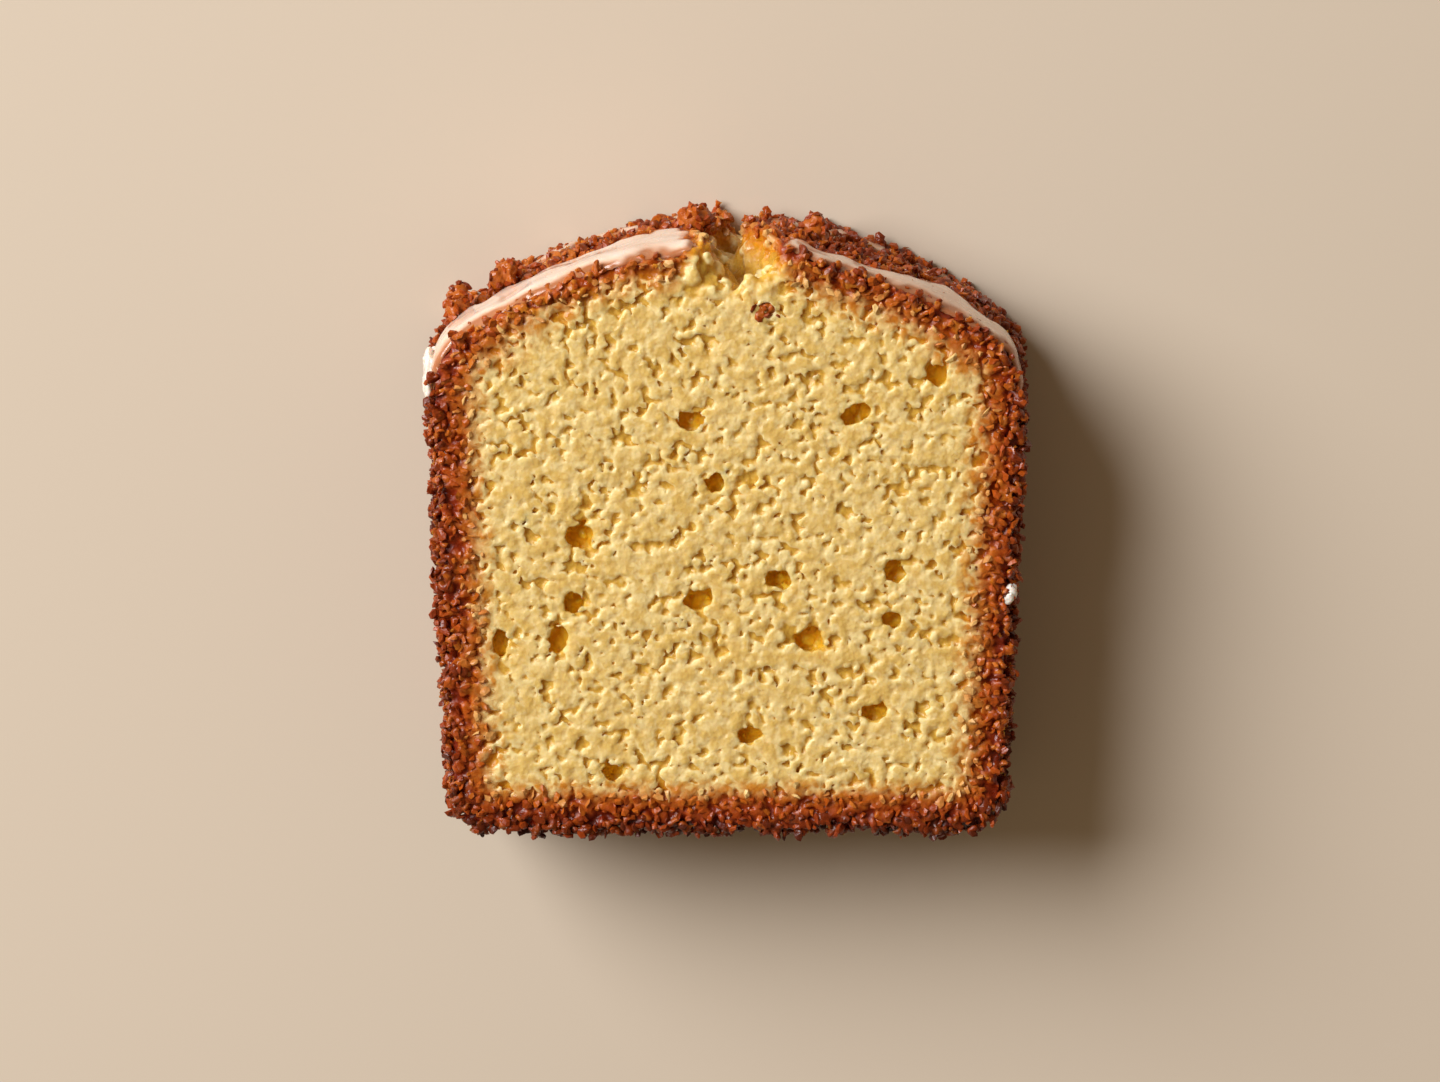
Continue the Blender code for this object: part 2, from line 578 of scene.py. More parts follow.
    def crown_fade(self, up: Wire) -> Wire:
        """Takes the glaze away below the crown."""
        return up.ramp(*self.crown_edge, -6.0, 0.0)

    def in_split(self, place: Wire) -> Wire:
        """One within the crown's split and nought outside it."""
        across, up, _ = self.loaf.spot(place)
        aside = (across - self.split_middle).math("ABSOLUTE")
        return aside.ramp(*self.split_sides, 1.0, 0.0) * up.ramp(*self.split_foot)

    def granules(self, place: Wire) -> tuple[Wire, Wire]:
        """Flaky granules scattered on the crust, most of them where no glaze covers it.

        Args:
            place: The sampled position, in metres.

        Returns:
            The signed distance to the nearest granule, and its own random number.
        """
        graph = place.graph
        density = self.granule_count / self.guide_area
        scatter = graph.node(
            "GeometryNodeDistributePointsOnFaces",
            {"distribute_method": "RANDOM"},
            {"Mesh": graph.mesh_of(self.loaf.guide), "Density": density, "Seed": 4},
            "Points",
        )
        here = graph.position()
        patch = graph.noise(graph.millimetres(here), self.patch_size, 1.0)
        spread = self.granule_spread * graph.chance(3).ramp(0.0, 1.0, 0.3, 1.0)
        too_deep = self.inward(here) - spread
        covered = (self.glaze_inside(here) + 0.6).smaller(self.loaf.spot(here)[2] - 1.2)
        bare = (0.40 - patch) * 6.0
        torn = self.in_split(here) - 0.3
        lost = too_deep.larger(covered).larger(bare).larger(torn).math("GREATER_THAN", 0.0)
        points = graph.without(scatter, lost)
        sample = {"Geometry": points, "Sample Position": place}
        nearest = graph.node("GeometryNodeSampleNearest", {"domain": "POINT"}, sample)
        centre = graph.node(
            "GeometryNodeSampleIndex",
            {"data_type": "FLOAT_VECTOR", "domain": "POINT"},
            {"Geometry": points, "Value": here, "Index": nearest},
        )
        axis = graph.chances((-1.0, -1.0, -1.0), (1.0, 1.0, 1.0), 7, ID=nearest)
        luck = graph.chance(9, ID=nearest)
        offset = graph.millimetres(graph.vector("SUBTRACT", place, centre))
        unit = graph.vector("NORMALIZE", axis)
        along = graph.vector("DOT_PRODUCT", offset, unit)
        flaky = graph.vector("ADD", offset, graph.scaled(unit, 0.9 * along))
        radius = self.granule_radius * (0.4 + 0.9 * luck)
        return graph.vector("LENGTH", flaky) - radius, luck

    def distance(self, place: Wire) -> dict[str, Wire]:
        """Builds the whole field.

        Args:
            place: The sampled position, in metres.

        Returns:
            "shape", the cake's signed distance, "solid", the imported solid's, "inward", the
            depth behind the crust, "luck", a grain's random number, "rim", the way to the nearest
            pore, "granule", the way to the nearest granule, and "granule_luck", its random number.
        """
        graph = place.graph
        warped = self.warped(place)
        shaken_x, shaken_y, _ = graph.parts(graph.scaled(warped, MM))
        _, up, level = graph.parts(place)
        inward = self.inward(place)
        height = level / MM
        above_cut = height - self.loaf.high.z / MM
        packed = self.signed_distance(graph.joined(shaken_x, shaken_y, level))
        up_crown = up / MM
        bottomed = above_cut + self.hole_floor + (inward - packed).ramp(0.8, 1.6, FAR, 0.0)
        bottomed = bottomed + up_crown.ramp(*self.hole_fade, 0.0, FAR)
        solid = packed.smaller(bottomed, 0.4)
        below_cut = self.loaf.low.z / MM - height
        crumbness = inward.ramp(*self.crust_range)
        swell = graph.noise(warped, self.swell_size, 2.0) - 0.5
        fine = graph.noise(warped, self.fine_size, 1.0) - 0.5

        grain, luck, second_luck = graph.cells(warped, self.crumb_cell)
        airiness = graph.noise(warped, self.pore_size, 3.0, 0.65)
        limit = graph.blend(inward.ramp(*self.rim_range), self.rim_pores, self.crumb_pores)
        in_hole = (solid - above_cut).ramp(0.4, 0.9) * up_crown.ramp(*self.hole_fade, 1.0, 0.0)
        pocket = (limit - airiness) * self.pore_slope + (0.55 - grain) * 1.1 - 3.0 * in_hole
        floor = (-solid - self.pore_depth).larger(0.0) * 1.5
        pinhole, chosen, _ = graph.cells(warped, self.pinhole_cell)
        widest = self.pinhole_radius
        pinhole = pinhole - chosen.ramp(1.0 - self.pinhole_share, 1.0, -0.2 * widest, widest)
        rim = pocket.smaller(pinhole)
        lattice = solid.larger(-(rim + floor), self.pore_rounding)

        dent = grain.ramp(0.20, 0.95, 0.0, 0.26) + 0.12 * second_luck + 0.35 * swell
        crumb = lattice + dent - 0.2
        grit = graph.cells(warped, self.grit_cell)[0] - 0.4
        crust = lattice + grain.ramp(0.2, 1.0, -0.3, 0.55) + 0.8 * swell + 0.35 * grit
        granule, granule_luck = self.granules(graph.scaled(warped, MM))
        shape = graph.blend(crumbness, crust, crumb)
        lobe = graph.cells(warped, self.lobe_cell)[0].ramp(0.3, 2.2, -0.7, 0.6)
        shape = shape + lobe * self.in_split(place) * inward.ramp(9.0, 6.0)
        shape = shape.smaller(granule + 0.4 * grit, 0.2)
        shape = shape + graph.blend(crumbness, *self.fine_reach) * fine
        shape = shape.larger(above_cut - self.slab_stand, 0.3).larger(below_cut)
        return {
            "shape": shape,
            "solid": solid,
            "inward": inward,
            "luck": luck,
            "rim": rim,
            "granule": granule,
            "granule_luck": granule_luck,
        }


@dataclass(frozen=True)
class Block:
    """One box of the cake that is meshed on its own, in the row frame."""

    name: str
    low: Vector
    high: Vector
    voxel: float
    triangles: int
    slot: Slot


@dataclass(frozen=True)
class VolumeMesher:
    """Turns boxes of space into closed meshes of a signed distance field.

    Its voxel is the grid's pitch in metres. Loose bits can be dropped, and smoothing steps added.
    """

    voxel: float
    keep_largest: bool = True
    smoothing: int = 0

    def snapped(self, place: Vector) -> Vector:
        """A corner moved onto the common grid, so that neighbouring blocks share its points."""
        return Vector([round(value / self.voxel) * self.voxel for value in place])

    def tree(self, name: str, shape_of: Callable[[Wire], Wire]) -> bpy.types.NodeTree:
        """A modifier tree that fills its object's bounding box with the field's surface.

        Args:
            name: Name of the tree.
            shape_of: Function from a position wire to the signed distance wire.

        Returns:
            The node tree.
        """
        graph, incoming = geometry_graph(name)
        box = graph.node("GeometryNodeBoundBox", inputs={"Geometry": incoming}, output="Min")
        size = graph.vector("SUBTRACT", box.other("Max"), box)
        steps = graph.parts(graph.scaled(size, 1.0 / self.voxel))
        density = (1.0 - shape_of(graph.position())).larger(0.0).smaller(2.0)
        resolution = {f"Resolution {axis}": count + 1.5 for axis, count in zip("XYZ", steps)}
        corner = {"Min": box, "Max": box.other("Max")}
        inputs = {"Density": density, **corner, **resolution}
        volume = graph.node("GeometryNodeVolumeCube", None, inputs)
        adaptivity = 0.0 if self.smoothing else 0.02
        meshing = {"Volume": volume, "Threshold": 1.0, "Adaptivity": adaptivity}
        mesh = graph.node("GeometryNodeVolumeToMesh", None, meshing)
        return graph.finish(self.largest_island(graph, mesh) if self.keep_largest else mesh)

    @staticmethod
    def largest_island(graph: Graph, mesh: Wire) -> Wire:
        """Drops sealed bubbles and loose bits, keeping the one body with most points.

        Args:
            graph: A Geometry Nodes graph.
            mesh: The meshed geometry.

        Returns:
            The geometry that stays.
        """
        island = graph.node("GeometryNodeInputMeshIsland", output="Island Index")
        size = graph.node(
            "GeometryNodeAccumulateField",
            {"data_type": "INT", "domain": "POINT"},
            {"Value": 1, "Group ID": island},
            "Total",
        )
        most = graph.node(
            "GeometryNodeAttributeStatistic",
            {"data_type": "FLOAT", "domain": "POINT"},
            {"Geometry": mesh, "Attribute": size},
            "Max",
        )
        return graph.without(mesh, (size - most).math("LESS_THAN", -0.5))

    def mesh(self, block: Block, tree: bpy.types.NodeTree) -> bpy.types.Object:
        """Adds a cube at the block's place and lets the modifier turn it into the piece.

        Args:
            block: The box to fill.
            tree: The modifier tree that fills it.

        Returns:
            The piece, active and selected.
        """
        low, high = self.snapped(block.low), self.snapped(block.high)
        bpy.ops.object.select_all(action="DESELECT")
        bpy.ops.mesh.primitive_cube_add(size=1.0, location=(low + high) / 2.0, scale=high - low)
        piece = bpy.context.active_object
        piece.name = piece.data.name = block.name
        bpy.ops.object.transform_apply(location=True, rotation=True, scale=True)
        modify(piece, "NODES", node_group=tree)
        if self.smoothing:
            modify(piece, "SMOOTH", factor=0.5, iterations=self.smoothing)
        thin(piece, block.triangles)
        return piece


def modify(piece: bpy.types.Object, kind: str, **settings: object) -> None:
    """Adds a modifier to a piece and applies it.

    Args:
        piece: The active piece.
        kind: The modifier's type.
        settings: Its settings.
    """
    modifier = piece.modifiers.new(kind.lower(), kind)
    for name, value in settings.items():
        setattr(modifier, name, value)
    bpy.ops.object.modifier_apply(modifier=modifier.name)


def dress(
    piece: bpy.types.Object, material: bpy.types.Material, smooth_angle: float = 55.0
) -> None:
    """Smooths the active piece, gives it its material and sets it on the cake's body.

    Args:
        piece: The active piece.
        material: Its finish.
        smooth_angle: Edges sharper than this many degrees stay sharp.
    """
    bpy.ops.object.shade_smooth_by_angle(angle=math.radians(smooth_angle))
    piece.data.materials.clear()
    piece.data.materials.append(material)
    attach(piece, BODY)


def thin(piece: bpy.types.Object, triangles: int) -> None:
    """Collapses the active piece's flattest edges until it holds about that many triangles.

    Args:
        piece: The active piece.
        triangles: The most that it may hold.
    """
    piece.data.calc_loop_triangles()
    count = len(piece.data.loop_triangles)
    if count > triangles:
        modify(piece, "DECIMATE", ratio=triangles / count)
    LOG.info("%s: %d triangles, kept %d", piece.name, count, len(piece.data.polygons))


@dataclass
class Cake:
    """The baked slice: crown, walls, base and crumb, meshed block by block."""

    loaf: Loaf
    voxel: float = 0.30 * MM
    margin: float = 1.5 * MM
    shown_depth: float = 6.5 * MM
    shown_triangles: int = 198_000
    rear_triangles: int = 190_000
    rear_coarseness: float = 1.3

    def blocks(self) -> list[Block]:
        """The shown slab with the cut face, and the rest of the slice behind it.

        Returns:
            The two blocks.
        """
        low, high, margin = self.loaf.low, self.loaf.high, Vector((1.0, 1.0, 1.0)) * self.margin
        seam = high.z - self.shown_depth
        return [
            Block("shown_slab", Vector((low.x, low.y, seam)) - margin, high + margin,
                  self.voxel, self.shown_triangles, Slot.CRUMB),
            Block("rear_slab", low - margin, Vector((high.x, high.y, seam)) + margin,
                  self.voxel * self.rear_coarseness, self.rear_triangles, Slot.CRUST),
        ]

    def colour_tree(self, field: BakedField) -> bpy.types.NodeTree:
        """A modifier tree that stores what the material reads about each point.

        Args:
            field: The cake's shape.

        Returns:
            The node tree.
        """
        graph, geometry = geometry_graph("cake_attributes")
        place = graph.position()
        found = field.distance(place)
        across, up, back = self.loaf.spot(place)
        # The split is lighter near the shown cut and darker further back: partly its browned crust,
        # partly painted shade deep in the split.
        split_browning_and_shade = back.ramp(2.0, 20.0, -4.0, -1.5) * field.in_split(place)
        # Painted light: the crown is coloured lighter, most on its left side, towards the key light.
        painted_crown_light = across.ramp(-20.0, 20.0, 2.3, 0.9) * up.ramp(24.0, 34.0)
        # Darker towards the base and a little towards the left wall: the base's darker browning, with
        # painted shade on the base wall that faces away from the key light.
        base_browning_and_shade = up.ramp(-36.0, -44.0, 0.0, 2.2) + across.ramp(-32.0, -42.0, 0.0, 0.5)
        holes = found["inward"].ramp(3.0, 5.0) * up.ramp(30.0, 26.0) * back.ramp(6.0, 5.0)
        stored = {name: found[name] for name in ("luck", "rim", "granule", "granule_luck")}
        # The air holes count as deeply sunk, so they take the painted golden glow.
        stored["sunk"] = (-found["solid"]).smaller(0.85).larger(back * holes)
        # The stored depth carries the crown's painted light and the split's and base's painted shade into
        # the colours.
        stored["inward"] = found["inward"] - split_browning_and_shade - base_browning_and_shade + painted_crown_light
        return graph.finish(graph.store(geometry, stored))

    def build(self, material: bpy.types.Material) -> list[bpy.types.Object]:
        """Meshes every block and dresses it.

        Args:
            material: The baked material.

        Returns:
            The pieces.
        """
        field = BakedField(self.loaf)
        colours = self.colour_tree(field)
        pieces = []
        for block in self.blocks():
            mesher = VolumeMesher(block.voxel * (1.0))
            shape = mesher.tree("baked_cake", lambda place: field.distance(place)["shape"])
            piece = mesher.mesh(block, shape)
            modify(piece, "NODES", node_group=colours)
            dress(piece, material)
            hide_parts(NODE)
            pieces.append(piece)
        return pieces


@dataclass
class Flakes:
    """Angular flakes of crust, set close together on the baked surface."""

    field: BakedField
    material: bpy.types.Material
    name: str = "crust_flakes"
    spacing: float = 1.2
    crowding: float = 3.0e6
    smallest: tuple[float, float, float] = (0.42, 0.4, 0.2)
    largest: tuple[float, float, float] = (1.25, 1.0, 0.6)
    shake_size: float = 0.5
    shake_reach: float = 0.8
    stand: float = 0.7
    glaze_gap: float = 0.8
    cut_band: float = 1.2
    floor_gap: float = 1.0
    sunk_most: float = 0.7
    smooth_angle: float = 12.0
    spread: tuple[float, float] = (4.5, 3.0)

    def lying(self, graph: Graph, everywhere: bool) -> Wire:
        """Above nought where flakes may lie on the baked surface.

        Args:
            graph: A Geometry Nodes graph.
            everywhere: Whether the source is a loose lump, which no glaze covers.

        Returns:
            The wire that says so.
        """
        place = graph.position()
        height = graph.parts(place)[2]
        loaf = self.field.loaf
        at_cut = (height - (loaf.high.z - self.cut_band * MM)) / MM
        bare = 1.0 if everywhere else -self.field.glaze_inside(place) - self.glaze_gap
        off_floor = (height - (loaf.low.z + self.floor_gap * MM)) / MM
        deepest, fade = self.spread
        crusty = deepest + fade * graph.chance(8) - graph.named("inward")
        raised = self.sunk_most - graph.named("sunk")
        return at_cut.larger(bare).smaller(crusty).smaller(raised).smaller(off_floor)

    def tree(self, sources: list[bpy.types.Object]) -> bpy.types.NodeTree:
        """A modifier tree that puts the flakes on the source pieces.

        Args:
            sources: The baked pieces that the flakes lie on.

        Returns:
            The node tree.
        """
        graph, _ = geometry_graph(self.name)
        joined = graph.tree.nodes.new("GeometryNodeJoinGeometry")
        for number, source in enumerate(sources):
            chosen = self.lying(graph, source.name.startswith("knob")).math("GREATER_THAN", 0.0)
            points = graph.node(
                "GeometryNodeDistributePointsOnFaces",
                {"distribute_method": "POISSON"},
                {
                    "Mesh": graph.mesh_of(source),
                    "Selection": chosen,
                    "Distance Min": self.spacing * MM,
                    "Density Max": self.crowding,
                    "Seed": number,
                },
                "Points",
            )
            graph.fill(joined, {0: points})
        geometry = Wire(graph, joined.outputs[0])
        fortune = graph.chance(5)
        stored = {"sunk": -0.3, "rim": fortune, "luck": 5.5 * fortune - 2.4, "granule": 1.0}
        geometry = graph.store(geometry, stored)
        turn = graph.chances((-math.pi, -math.pi, 0.0), (math.pi, math.pi, 2.0 * math.pi), 11)
        low, high = (tuple(value * MM for value in size) for size in (self.smallest, self.largest))
        size = graph.chances(low, high)
        flake = graph.node("GeometryNodeMeshIcoSphere", inputs={"Radius": 1.0, "Subdivisions": 1})
        placed = graph.node(
            "GeometryNodeInstanceOnPoints",
            inputs={"Points": geometry, "Instance": flake, "Rotation": turn, "Scale": size},
        )
        real = graph.node("GeometryNodeRealizeInstances", inputs={"Geometry": placed})
        shake = graph.shake(graph.millimetres(graph.position()), self.shake_size, 1.0)
        moved = graph.node(
            "GeometryNodeSetPosition",
            inputs={"Geometry": real, "Offset": graph.scaled(shake, self.shake_reach * MM)},
        )
        x, y, z = graph.parts(graph.position())
        loaf = self.field.loaf
        kept = graph.joined(x, y, z.smaller(loaf.high.z + self.stand * MM).larger(loaf.low.z))
        return graph.finish(
            graph.node("GeometryNodeSetPosition", inputs={"Geometry": moved, "Position": kept})
        )

    def build(self, sources: list[bpy.types.Object]) -> bpy.types.Object:
        """Makes the flakes.

        Args:
            sources: The baked pieces that the flakes lie on.

        Returns:
            The piece.
        """
        bpy.ops.object.select_all(action="DESELECT")
        bpy.ops.mesh.primitive_cube_add(size=0.01)
        piece = bpy.context.active_object
        piece.name = piece.data.name = self.name
        modify(piece, "NODES", node_group=self.tree(sources))
        LOG.info("%s: %d triangles", self.name, len(piece.data.polygons))
        dress(piece, self.material, self.smooth_angle)
        return piece


def new_material(name: str) -> tuple[bpy.types.Material, Graph, bpy.types.Node]:
    """Starts a material.

    Args:
        name: Its name.

    Returns:
        The material, its graph and its surface node.
    """
    material = bpy.data.materials.new(name)
    material.use_nodes = True
    return material, Graph(material.node_tree), material.node_tree.nodes["Principled BSDF"]


@dataclass(frozen=True)
class BakedFinish:
    """Crumb and crust in one material, by depth behind the crust and below the surface, with painted
    shade and glow in hollows and painted highlights on the crumb.
    """

    name: str = "baked_cake"
    translucency: float = 0.6
    light_depth: float = 2.2 * MM
    light_spread: tuple[float, float, float] = (1.0, 0.95, 0.8)
    crumb: Colour = linear(222, 185, 103)
    # Pale crumb tone that also serves as a painted highlight.
    crumb_tone_and_highlight: Colour = linear(238, 212, 147)
    # Painted glow: a bright gold for the air holes' floors, standing in for light carried through the
    # crumb.
    hole_painted_glow: Colour = linear(250, 204, 62)
    toast: Colour = linear(118, 42, 10)
    raised: Stops = (
        (-2.0, linear(80, 28, 9)),
        (0.2, linear(138, 52, 13)),
        (2.5, linear(168, 74, 18)),
        (4.6, linear(184, 98, 24)),
        (7.1, linear(202, 132, 42)),
    )
    # Painted shade and glow: dark reds in the crust's hollows, turning into a painted golden glow in the
    # crumb's pockets.
    pit_shade_and_glow: Stops = (
        (-2.0, linear(52, 14, 5)),
        (0.2, linear(104, 24, 4)),
        (2.8, linear(136, 40, 4)),
        (4.8, linear(166, 72, 7)),
        (7.0, linear(204, 134, 24)),
        (9.4, linear(214, 168, 68)),
    )
    flake: Stops = (
        (-2.0, linear(84, 32, 12)),
        (0.2, linear(158, 74, 20)),
        (2.2, linear(186, 98, 26)),
        (5.2, linear(202, 124, 34)),
        (7.8, linear(222, 166, 76)),
    )
    start: float = -2.0
    reach: float = 11.0
    wobble_size: float = 3.2
    wobble_reach: float = 2.4
    crumb_range: tuple[float, float] = (4.0, 8.0)
    sheen: tuple[float, float] = (0.18, 0.5)
    relief: float = 0.5
    gloss: float = 0.35

    def ramp(self, graph: Graph, depth: Wire, stops: Stops) -> Wire:
        """Colours by depth behind the crust, with the stops given in millimetres.

        Args:
            graph: The material's graph.
            depth: The depth behind the crust.
            stops: Depths, each with its colour.

        Returns:
            The colour.
        """
        span = self.reach - self.start
        settings = {"stops": [((place - self.start) / span, colour) for place, colour in stops]}
        return graph.node("ShaderNodeValToRGB", settings, {"Fac": (depth - self.start) / span}, "Color")

    def build(self) -> bpy.types.Material:
        """Makes the material.

        Returns:
            The material.
        """
        material, graph, surface = new_material(self.name)
        place = graph.millimetres(graph.node("ShaderNodeTexCoord", output="Object"))
        stored = ("inward", "sunk", "luck", "rim", "granule", "granule_luck")
        inward, sunk, luck, rim, granule, granule_luck = (graph.stored(name) for name in stored)

        wobble = graph.noise(place, self.wobble_size, 3.0) - 0.5
        depth = inward + self.wobble_reach * wobble + 0.8 * (luck - 0.5)
        raised = self.ramp(graph, depth, (*self.raised, (9.2, self.crumb)))
        pit_shade_and_glow = self.ramp(graph, depth, self.pit_shade_and_glow)
        crumbness = depth.ramp(*self.crumb_range)
        # Random cells turn pale, and every pore's rim gets a painted highlight.
        pale_and_highlit = luck.ramp(0.3, 1.0, 0.0, 0.55).larger(rim.ramp(0.15, 0.7, 1.0, 0.0))
        lifted = graph.tint(pale_and_highlit * crumbness, raised, self.crumb_tone_and_highlight)
        on_granule = granule.ramp(0.5, 0.1)
        flake = self.ramp(graph, depth, self.flake)
        toasted = graph.tint(granule_luck.ramp(0.4, 0.8) * depth.ramp(5.0, 2.0), flake, self.toast)
        topped = graph.tint(on_granule, lifted, toasted)
        # Sunk places take the pit colours: painted shade in the crust, a painted golden glow in the
        # crumb.
        painted_pit_share = graph.blend(crumbness, sunk.ramp(0.0, 0.6), sunk.ramp(0.08, 0.4))
        golden = graph.tint(painted_pit_share, topped, pit_shade_and_glow)
        # The air holes get the painted golden glow.
        coloured = graph.tint(sunk.ramp(0.9, 1.4) * crumbness, golden, self.hole_painted_glow)
        facets = graph.cells(place, 0.9)[0] * 0.3 + graph.cells(place, 0.5)[0] * 0.16
        relief = facets + 0.1 * graph.noise(place, 0.35, 2.0)
        inputs = {
            "Base Color": coloured,
            "Roughness": graph.noise(place, 0.9, 2.0).ramp(0.35, 0.7, *self.sheen),
            "Normal": graph.bump(relief, self.relief, MM),
            "Subsurface Weight": self.translucency,
            "Subsurface Radius": self.light_spread,
            "Subsurface Scale": self.light_depth,
            "Specular IOR Level": self.gloss,
        }
        graph.fill(surface, inputs)
        return material


@dataclass(frozen=True)
class GlazeRun:
    """A run of glaze with the box it is meshed in, in millimetres of the row frame."""

    name: str
    band: GlazeBand
    low: tuple[float, float, float]
    high: tuple[float, float, float]
    patchy: float = 0.0


@dataclass
class Glaze:
    """Sugar glaze that ran along the crown on both sides of the split."""

    field: BakedField
    material: bpy.types.Material
    voxel: float = 0.4 * MM
    under: float = 0.9
    triangles: int = 150_000
    smoothing: int = 14
    patch_size: float = 6.0
    patch_level: float = 0.58
    lump_size: float = 4.5
    lump_height: float = 0.5
    split_half: float = 6.0
    split_wander: float = 1.8
    edge: tuple[float, float] = (-0.8, 2.6)

    def runs(self) -> list[GlazeRun]:
        """The two runs at the shown cut, and the thin one behind the granules.

        Returns:
            The runs of glaze.
        """
        loaf = self.field.loaf
        top, crown = loaf.high.z / MM + 1.0, loaf.high.y / MM + 3.0
        left, right = self.field.bands
        rear = GlazeBand(-46.0, 46.0, 20.0, 29.0, thickness=0.3)
        return [
            GlazeRun("glaze_left", left, (-47.0, 15.0, top - 23.0), (-3.0, crown, top)),
            GlazeRun("glaze_right", right, (6.5, 15.0, top - 20.0), (47.0, crown, top)),
            GlazeRun("glaze_rear", rear, (-47.0, 15.0, 0.4), (47.0, crown, top - 19.0), 30.0),
        ]

    def thickness(self, run: GlazeRun, place: Wire) -> Wire:
        """Height of a run's surface over the baked crust in millimetres, negative outside it.

        Args:
            run: The run of glaze.
            place: The sampled position, in metres.

        Returns:
            The height.
        """
        graph = place.graph
        millimetres = graph.millimetres(place)
        across, up, back = self.field.loaf.spot(place)
        wander = self.field.wander(millimetres)
        inside = run.band.inside(across, back, wander)
        inside = inside + run.patchy * (graph.noise(millimetres, self.patch_size, 1.0) - self.patch_level)
        inside = inside + self.field.crown_fade(up)
        aside = (across - self.field.split_middle).math("ABSOLUTE")
        inside = inside.smaller(aside - self.split_half + self.split_wander * wander)
        lumps = graph.noise(millimetres, self.lump_size, 1.0) - 0.5
        return inside.ramp(*self.edge, self.edge[0], run.band.thickness) + self.lump_height * lumps

    def shape(self, run: GlazeRun, place: Wire) -> Wire:
        """Signed distance of a run: a skin over the crust, cut off just in front of the cut.

        Args:
            run: The run of glaze.
            place: The sampled position, in metres.

        Returns:
            The signed distance in millimetres.
        """
        solid = self.field.signed_distance(place)
        height = place.graph.parts(place)[2] / MM
        skin = (solid - self.thickness(run, place)).larger(-(solid + self.under))
        above_cut = height - self.field.loaf.high.z / MM
        off_the_cut = (self.field.inward(place) - 0.7).smaller(above_cut + 0.8)
        return skin.larger(above_cut - 0.15, 0.5).larger(off_the_cut, 0.3)

    def colour_tree(self, run: GlazeRun) -> bpy.types.NodeTree:
        """A modifier tree that stores how thick the glaze is at each point.

        Args:
            run: The run of glaze.

        Returns:
            The node tree.
        """
        graph, geometry = geometry_graph("glaze_attributes")
        stored = {"thickness": self.thickness(run, graph.position())}
        return graph.finish(graph.store(geometry, stored))

    def build(self) -> list[bpy.types.Object]:
        """Meshes and dresses every run.

        Returns:
            The pieces.
        """
        pieces = []
        for run in self.runs():
            mesher = VolumeMesher(self.voxel, not run.patchy, self.smoothing)
            tree = mesher.tree(run.name, lambda place: self.shape(run, place))
            low, high = Vector(run.low) * MM, Vector(run.high) * MM
            block = Block(run.name, low, high, self.voxel, self.triangles, Slot.GLAZE)
            piece = mesher.mesh(block, tree)
            modify(piece, "NODES", node_group=self.colour_tree(run))
            dress(piece, self.material)
            pieces.append(piece)
        return pieces


@dataclass(frozen=True)
class Lump:
    """A small loose bit on the cake, in millimetres across and above the base, and its depth.

    It is a cluster of balls melted together, flattened to its size and roughened.
    """

    name: str
    across: float
    above_base: float
    back: float
    size: tuple[float, float, float]
    slot: Slot
    seed: int
    balls: int = 9
    rough: float = 0.35
    ball_spread: float = 0.55
    ball_sizes: tuple[float, float] = (0.4, 0.62)
    detail: float = 14.0
    bumps: float = 0.35

    def build(self, loaf: Loaf, material: bpy.types.Material) -> bpy.types.Object:
        """Makes the lump.

        Args:
            loaf: The slice that it sits on.
            material: Its finish.

        Returns:
            The piece.
        """
        dice = random.Random(self.seed)
        centre = Vector((0.0, loaf.low.y, loaf.high.z))
        centre += Vector((self.across, self.above_base, -self.back)) * MM
        half = Vector(self.size) * MM / 2.0
        bpy.ops.object.select_all(action="DESELECT")
        made = []
        for _ in range(self.balls):
            spot = Vector([dice.uniform(-self.ball_spread, self.ball_spread) * reach for reach in half])
            size = half * dice.uniform(*self.ball_sizes)
            bpy.ops.mesh.primitive_ico_sphere_add(
                subdivisions=3, radius=1.0, location=centre + spot, scale=size
            )
            bpy.ops.object.transform_apply(location=True, rotation=True, scale=True)
            made.append(bpy.context.active_object)
        for ball in made:
            ball.select_set(True)
        bpy.ops.object.join()
        piece = bpy.context.active_object
        piece.name = piece.data.name = self.name
        thinnest = min(self.size) * MM
        modify(piece, "REMESH", mode="VOXEL", voxel_size=thinnest / self.detail)
        clouds = bpy.data.textures.new(self.name, "CLOUDS")
        clouds.noise_scale = thinnest * self.bumps
        modify(piece, "DISPLACE", texture=clouds, texture_coords="LOCAL", strength=self.rough * MM)
        for name, value in {"thickness": 0.9, "inward": 1.6}.items():
            stored = piece.data.attributes.new(name, "FLOAT", "POINT")
            stored.data.foreach_set("value", [value] * len(piece.data.vertices))
        dress(piece, material)
        return piece


KNOBS = (
    Lump("crust_crumb", 6.1, 80.0, 0.9, (4.8, 3.8, 2.2), Slot.CRUST, 8, 14, 0.7),
    Lump("knob_shoulder", -40.4, 78.6, 14.0, (4.2, 6.2, 5.4), Slot.CRUST, 3, 12, 1.4),
    Lump("knob_left", -33.4, 82.6, 17.0, (4.0, 5.8, 5.0), Slot.CRUST, 4, 12, 1.4),
    Lump("knob_peak", -4.4, 90.9, 16.0, (4.8, 5.2, 6.0), Slot.CRUST, 6, 12, 1.4),
    Lump("knob_right", 13.2, 89.5, 17.0, (4.4, 5.2, 5.2), Slot.CRUST, 7, 12, 1.4),
)
CHIPS = (
    Lump("glaze_drip", -43.9, 69.5, 6.0, (2.6, 8.0, 8.0), Slot.GLAZE, 5, 14, 0.6),
    Lump("glaze_chip", 42.4, 37.2, 0.2, (2.1, 3.4, 1.8), Slot.GLAZE, 2),
)


